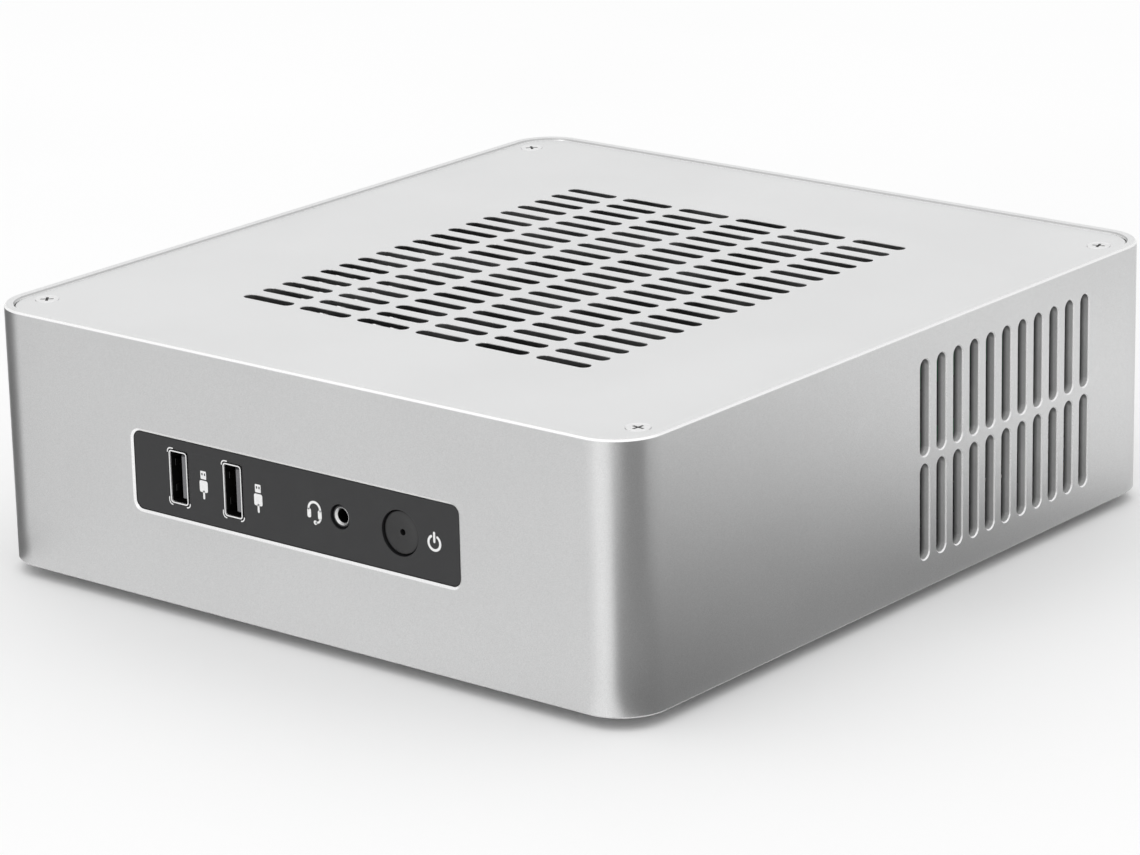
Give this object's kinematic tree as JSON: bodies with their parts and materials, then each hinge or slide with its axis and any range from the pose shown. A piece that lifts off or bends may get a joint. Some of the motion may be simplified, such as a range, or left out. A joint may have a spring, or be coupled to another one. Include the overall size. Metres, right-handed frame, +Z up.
{
  "type": "small form factor desktop computer",
  "caption": "Low flat desktop computer with an aluminium surround, vented screwed lid, black front panel with power button and sockets, rear ports, and a fan-cooled board inside.",
  "frame": {"origin": "the point on the table under the middle of the case, level with the undersides of the rubber feet", "axes": "+Z up, +Y from the front panel to the rear ports, +X to the right side as seen from the front"},
  "size_m": [0.2, 0.215, 0.068],
  "materials": {
    "case_aluminium": "bead-blasted and clear anodised, satin",
    "lid_aluminium": "bead-blasted and clear anodised, satin",
    "screw_steel": "nickel plated",
    "foot_rubber": "matt",
    "panel_plastic": "fine satin texture",
    "button_plastic": "satin",
    "lens_plastic": "smoked clear",
    "switch_plastic": "moulded",
    "plunger_plastic": "moulded",
    "green_board": "solder resist over fibreglass",
    "black_board": "solder resist over fibreglass",
    "port_steel": "tin plated",
    "jack_plastic": "moulded",
    "cable_jacket": "braided sleeve",
    "standoff_brass": "machined",
    "heatsink_aluminium": "extruded, bare",
    "fan_plastic": "moulded"
  },
  "bodies": {
    "case": {"antenna_plug_1": "foot_rubber", "antenna_plug_2": "foot_rubber", "audio_stack": "jack_plastic", "base_plate": "case_aluminium", "base_screw_front_left": "screw_steel", "base_screw_front_right": "screw_steel", "base_screw_rear_left": "screw_steel", "base_screw_rear_right": "screw_steel", "board_screw_front_left": "screw_steel", "board_screw_front_right": "screw_steel", "board_screw_rear_left": "screw_steel", "board_screw_rear_right": "screw_steel", "board_standoff_front_left": "standoff_brass", "board_standoff_front_right": "standoff_brass", "board_standoff_rear_left": "standoff_brass", "board_standoff_rear_right": "standoff_brass", "cpu_heatsink": "heatsink_aluminium", "cpu_socket": "plunger_plastic", "dc_inlet": "jack_plastic", "fan_frame": "fan_plastic", "front_board_screw_1": "screw_steel", "front_board_screw_2": "screw_steel", "front_cable_plug": "switch_plastic", "front_io_board": "green_board", "front_io_cable": "cable_jacket", "front_panel": "panel_plastic", "front_usb_shell_left": "port_steel", "front_usb_shell_right": "port_steel", "front_usb_tongue_left": "switch_plastic", "front_usb_tongue_right": "switch_plastic", "headset_jack": "jack_plastic", "io_shield": "port_steel", "lan_jack": "port_steel", "lid_screw_front_left": "screw_steel", "lid_screw_front_right": "screw_steel", "lid_screw_rear_left": "screw_steel", "lid_screw_rear_right": "screw_steel", "main_board": "black_board", "memory_module_1": "green_board", "memory_module_2": "green_board", "memory_slot_1": "switch_plastic", "memory_slot_2": "switch_plastic", "power_switch_body": "switch_plastic", "rear_usb_stack_1": "port_steel", "rear_usb_stack_2": "port_steel", "regulator_heatsink": "heatsink_aluminium", "rubber_foot_front_left": "foot_rubber", "rubber_foot_front_right": "foot_rubber", "rubber_foot_rear_left": "foot_rubber", "rubber_foot_rear_right": "foot_rubber", "storage_stick": "black_board", "surround_frame": "case_aluminium", "top_lid": "lid_aluminium", "video_port_1": "port_steel", "video_port_2": "port_steel"},
    "power_button": {"power_button": "button_plastic", "power_light_pipe": "lens_plastic", "power_switch_plunger": "plunger_plastic"},
    "fan_rotor": {"fan_rotor": "fan_plastic"}
  },
  "joints": [
    {"name": "power_button_press", "type": "slide", "parent": "case", "child": "power_button", "axis": [0, 1, 0], "range_m": [0, 0.001], "stiffness_N_per_m": 1500},
    {"name": "fan_spin", "type": "hinge", "parent": "case", "child": "fan_rotor", "pos_m": [0, 0.014, 0.05145], "axis": [0, 0, 1], "continuous": true}
  ]
}
